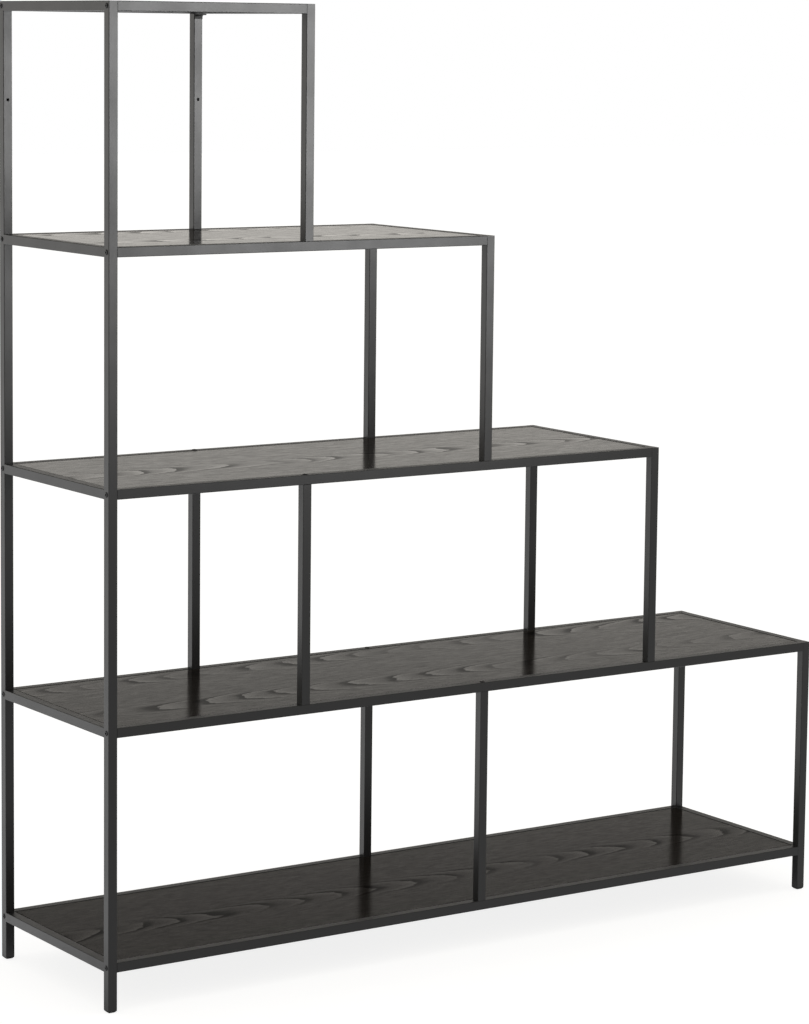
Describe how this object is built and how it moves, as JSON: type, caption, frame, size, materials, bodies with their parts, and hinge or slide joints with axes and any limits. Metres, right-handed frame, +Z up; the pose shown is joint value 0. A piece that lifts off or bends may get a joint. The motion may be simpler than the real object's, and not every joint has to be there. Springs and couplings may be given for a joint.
{
  "type": "stepped open bookcase",
  "caption": "Stepped open bookcase of square black steel tube, with dark wood boards laid into decks that get longer towards the floor, for books and display.",
  "frame": {"origin": "on the floor, under the middle of the frame's width and depth", "axes": "+Z up, -Y towards the front that the picture shows, +X towards the stepped right end"},
  "size_m": [1.362, 0.35, 1.5],
  "materials": {
    "powder_coated_steel": "satin black powder coat",
    "stained_board": "black-stained open-grain veneer, satin lacquer",
    "dark_zinc_steel": "dark zinc",
    "moulded_nylon": "moulded",
    "glide_plastic": "moulded"
  },
  "bodies": {
    "root": {"left_post_front": "powder_coated_steel", "left_post_back": "powder_coated_steel", "row_1_post_front": "powder_coated_steel", "row_1_post_back": "powder_coated_steel", "row_2_post_front": "powder_coated_steel", "row_2_post_back": "powder_coated_steel", "row_3_post_front": "powder_coated_steel", "row_3_post_back": "powder_coated_steel", "row_4_post_front": "powder_coated_steel", "row_4_post_back": "powder_coated_steel", "row_3_divider_front": "powder_coated_steel", "row_3_divider_back": "powder_coated_steel", "row_4_divider_front": "powder_coated_steel", "row_4_divider_back": "powder_coated_steel", "deck_1_front_rail": "powder_coated_steel", "deck_1_back_rail": "powder_coated_steel", "deck_1_left_rail": "powder_coated_steel", "deck_1_right_rail": "powder_coated_steel", "deck_1_board": "stained_board", "deck_1_board_rests": "powder_coated_steel", "deck_2_front_rail": "powder_coated_steel", "deck_2_back_rail": "powder_coated_steel", "deck_2_left_rail": "powder_coated_steel", "deck_2_right_rail": "powder_coated_steel", "deck_2_board": "stained_board", "deck_2_board_rests": "powder_coated_steel", "deck_3_front_rail": "powder_coated_steel", "deck_3_back_rail": "powder_coated_steel", "deck_3_left_rail": "powder_coated_steel", "deck_3_right_rail": "powder_coated_steel", "deck_3_board": "stained_board", "deck_3_board_rests": "powder_coated_steel", "deck_4_front_rail": "powder_coated_steel", "deck_4_back_rail": "powder_coated_steel", "deck_4_left_rail": "powder_coated_steel", "deck_4_right_rail": "powder_coated_steel", "deck_4_board": "stained_board", "deck_4_board_rests": "powder_coated_steel", "deck_5_front_rail": "powder_coated_steel", "deck_5_back_rail": "powder_coated_steel", "deck_5_left_rail": "powder_coated_steel", "deck_5_right_rail": "powder_coated_steel", "deck_5_board": "stained_board", "deck_5_board_rests": "powder_coated_steel", "left_frame_bolts": "dark_zinc_steel", "right_frame_bolts": "dark_zinc_steel", "divider_bolts": "dark_zinc_steel", "bracket_screw": "dark_zinc_steel", "left_rail_plugs": "dark_zinc_steel", "right_rail_plugs": "dark_zinc_steel", "divider_plugs": "dark_zinc_steel", "tongue_plugs": "moulded_nylon", "floor_glides": "glide_plastic", "corner_bracket": "powder_coated_steel"}
  },
  "joints": []
}
